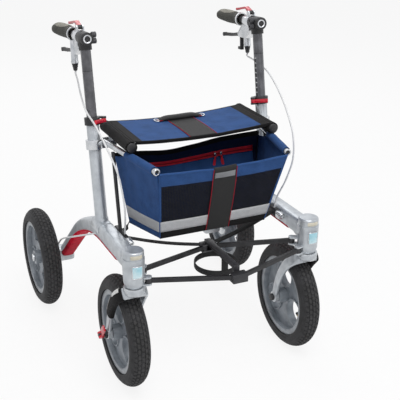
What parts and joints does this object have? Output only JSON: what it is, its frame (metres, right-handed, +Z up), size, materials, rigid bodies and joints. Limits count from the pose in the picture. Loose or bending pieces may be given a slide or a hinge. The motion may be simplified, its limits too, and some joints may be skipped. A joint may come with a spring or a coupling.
{
  "type": "all-terrain rollator",
  "caption": "Folding walking frame on air-filled wheels with arched side beams, swivelling front forks, seat sling, basket and height-adjustable braked handles.",
  "frame": {"origin": "on the floor at the middle of the overall length and width, as it stands open", "axes": "+X to the user's right seen from behind, +Y to the rear where the user walks, +Z up"},
  "size_m": [0.728, 0.9027, 0.9489],
  "materials": {
    "silver_aluminium": "silver satin lacquer",
    "bright_aluminium": "polished",
    "red_lacquer": "red gloss",
    "black_plastic": "fine grain",
    "tyre_rubber": "matt treaded",
    "grey_rim": "moulded grey",
    "dark_tube": "dark anodised",
    "grip_rubber": "soft matt",
    "grey_cable": "sleeved",
    "blue_cloth": "woven",
    "black_webbing": "ribbed webbing",
    "dark_link": "dark grey satin"
  },
  "bodies": {
    "left_frame": {"left_beam": "silver_aluminium", "left_beam_inlay": "red_lacquer", "left_head": "silver_aluminium", "left_head_cap": "silver_aluminium", "left_upright": "silver_aluminium", "left_collar": "black_plastic", "left_seat_rail": "bright_aluminium", "left_stay": "black_plastic", "left_rear_axle": "bright_aluminium", "left_brake_cable": "grey_cable", "seat_sling": "blue_cloth", "basket": "blue_cloth", "webbing": "black_webbing"},
    "right_frame": {"right_beam": "silver_aluminium", "right_beam_inlay": "red_lacquer", "right_head": "silver_aluminium", "right_head_cap": "silver_aluminium", "right_upright": "silver_aluminium", "right_collar": "black_plastic", "right_seat_rail": "bright_aluminium", "right_stay": "black_plastic", "right_rear_axle": "bright_aluminium", "right_brake_cable": "grey_cable"},
    "left_caster": {"left_fork": "silver_aluminium", "left_fork_guard": "black_plastic", "left_front_axle": "black_plastic"},
    "left_front_wheel": {"left_front_tyre": "tyre_rubber", "left_front_rim": "grey_rim"},
    "left_rear_wheel": {"left_rear_tyre": "tyre_rubber", "left_rear_rim": "grey_rim"},
    "left_axle_catch": {"left_axle_lever": "red_lacquer"},
    "left_handle": {"left_handle_tube": "dark_tube", "left_handle_head": "black_plastic", "left_grip": "grip_rubber", "left_brake_body": "bright_aluminium"},
    "left_hand_lever": {"left_brake_lever": "black_plastic"},
    "left_park_catch": {"left_park_lever": "red_lacquer"},
    "left_height_catch": {"left_collar_lever": "red_lacquer"},
    "right_caster": {"right_fork": "silver_aluminium", "right_fork_guard": "black_plastic", "right_front_axle": "black_plastic"},
    "right_front_wheel": {"right_front_tyre": "tyre_rubber", "right_front_rim": "grey_rim"},
    "right_rear_wheel": {"right_rear_tyre": "tyre_rubber", "right_rear_rim": "grey_rim"},
    "right_axle_catch": {"right_axle_lever": "red_lacquer"},
    "right_handle": {"right_handle_tube": "dark_tube", "right_handle_head": "black_plastic", "right_grip": "grip_rubber", "right_brake_body": "bright_aluminium"},
    "right_hand_lever": {"right_brake_lever": "black_plastic"},
    "right_park_catch": {"right_park_lever": "red_lacquer"},
    "right_height_catch": {"right_collar_lever": "red_lacquer"},
    "rear_arm_left": {"rear_link_left": "dark_link"},
    "rear_arm_right": {"rear_link_right": "dark_link"},
    "centre": {"centre_block": "dark_link"},
    "front_arm_left": {"front_link_left": "dark_link"},
    "front_arm_right": {"front_link_right": "dark_link"},
    "nose": {"front_block": "dark_link"}
  },
  "joints": [
    {"name": "fold", "type": "hinge", "parent": "left_frame", "child": "rear_arm_left", "pos_m": [-0.22, -0.32565, 0.366], "axis": [0, 0, 1], "range_deg": [0, 37], "deforming": ["seat_sling", "basket", "webbing"]},
    {"name": "fold_centre", "type": "hinge", "parent": "rear_arm_left", "child": "centre", "pos_m": [-0.012, -0.24994, 0.356], "axis": [0, 0, 1], "range_deg": [-37, 0]},
    {"name": "fold_rear_right", "type": "hinge", "parent": "centre", "child": "rear_arm_right", "pos_m": [0.012, -0.24994, 0.356], "axis": [0, 0, 1], "range_deg": [-37, 0]},
    {"name": "fold_right_frame", "type": "hinge", "parent": "rear_arm_right", "child": "right_frame", "pos_m": [0.22, -0.32565, 0.366], "axis": [0, 0, 1], "range_deg": [0, 37]},
    {"name": "fold_front_left", "type": "hinge", "parent": "left_frame", "child": "front_arm_left", "pos_m": [-0.22, -0.36065, 0.35], "axis": [0, 0, 1], "range_deg": [-37, 0]},
    {"name": "fold_front_right", "type": "hinge", "parent": "right_frame", "child": "front_arm_right", "pos_m": [0.22, -0.36065, 0.35], "axis": [0, 0, 1], "range_deg": [0, 37]},
    {"name": "fold_nose", "type": "hinge", "parent": "front_arm_left", "child": "nose", "pos_m": [-0.012, -0.43635, 0.35], "axis": [0, 0, 1], "range_deg": [0, 37]},
    {"name": "left_swivel", "type": "hinge", "parent": "left_frame", "child": "left_caster", "pos_m": [-0.256, -0.35065, 0.38], "axis": [0, 0, 1], "continuous": true},
    {"name": "left_front_spin", "type": "hinge", "parent": "left_caster", "child": "left_front_wheel", "pos_m": [-0.256, -0.25265, 0.156], "axis": [1, 0, 0], "continuous": true},
    {"name": "left_rear_spin", "type": "hinge", "parent": "left_frame", "child": "left_rear_wheel", "pos_m": [-0.334, 0.29535, 0.156], "axis": [1, 0, 0], "continuous": true},
    {"name": "left_axle_catch_turn", "type": "hinge", "parent": "left_caster", "child": "left_axle_catch", "pos_m": [-0.3201, -0.25265, 0.156], "axis": [0, -0.766, -0.6428], "range_deg": [0, 110]},
    {"name": "left_height", "type": "slide", "parent": "left_frame", "child": "left_handle", "axis": [0, 0.1599, 0.9871], "range_m": [-0.14, 0], "deforming": ["left_brake_cable"]},
    {"name": "left_brake", "type": "hinge", "parent": "left_handle", "child": "left_hand_lever", "pos_m": [-0.256, 0.071, 0.86467], "axis": [1, 0, 0], "range_deg": [0, 9], "stiffness_Nm_per_rad": 4, "springref_deg": -2.86},
    {"name": "left_park", "type": "hinge", "parent": "left_handle", "child": "left_park_catch", "pos_m": [-0.256, 0.01483, 0.93576], "axis": [1, 0, 0], "range_deg": [0, 60]},
    {"name": "left_height_catch_turn", "type": "hinge", "parent": "left_frame", "child": "left_height_catch", "pos_m": [-0.22593, -0.06694, 0.69761], "axis": [0, 0.1599, 0.9871], "range_deg": [0, 100]},
    {"name": "right_swivel", "type": "hinge", "parent": "right_frame", "child": "right_caster", "pos_m": [0.256, -0.35065, 0.38], "axis": [0, 0, 1], "continuous": true},
    {"name": "right_front_spin", "type": "hinge", "parent": "right_caster", "child": "right_front_wheel", "pos_m": [0.256, -0.25265, 0.156], "axis": [1, 0, 0], "continuous": true},
    {"name": "right_rear_spin", "type": "hinge", "parent": "right_frame", "child": "right_rear_wheel", "pos_m": [0.334, 0.29535, 0.156], "axis": [1, 0, 0], "continuous": true},
    {"name": "right_axle_catch_turn", "type": "hinge", "parent": "right_caster", "child": "right_axle_catch", "pos_m": [0.3201, -0.25265, 0.156], "axis": [0, 0.766, 0.6428], "range_deg": [0, 110]},
    {"name": "right_height", "type": "slide", "parent": "right_frame", "child": "right_handle", "axis": [0, 0.1599, 0.9871], "range_m": [-0.14, 0], "deforming": ["right_brake_cable"]},
    {"name": "right_brake", "type": "hinge", "parent": "right_handle", "child": "right_hand_lever", "pos_m": [0.256, 0.071, 0.86467], "axis": [1, 0, 0], "range_deg": [0, 9], "stiffness_Nm_per_rad": 4, "springref_deg": -2.86},
    {"name": "right_park", "type": "hinge", "parent": "right_handle", "child": "right_park_catch", "pos_m": [0.256, 0.01483, 0.93576], "axis": [1, 0, 0], "range_deg": [0, 60]},
    {"name": "right_height_catch_turn", "type": "hinge", "parent": "right_frame", "child": "right_height_catch", "pos_m": [0.22593, -0.06694, 0.69761], "axis": [0, -0.1599, -0.9871], "range_deg": [0, 100]}
  ],
  "couplings": [
    {"joint": "fold_centre", "follows": "fold", "ratio": -1},
    {"joint": "fold_rear_right", "follows": "fold", "ratio": -1},
    {"joint": "fold_right_frame", "follows": "fold", "ratio": 1},
    {"joint": "fold_front_left", "follows": "fold", "ratio": -1},
    {"joint": "fold_front_right", "follows": "fold", "ratio": 1},
    {"joint": "fold_nose", "follows": "fold", "ratio": 1}
  ]
}
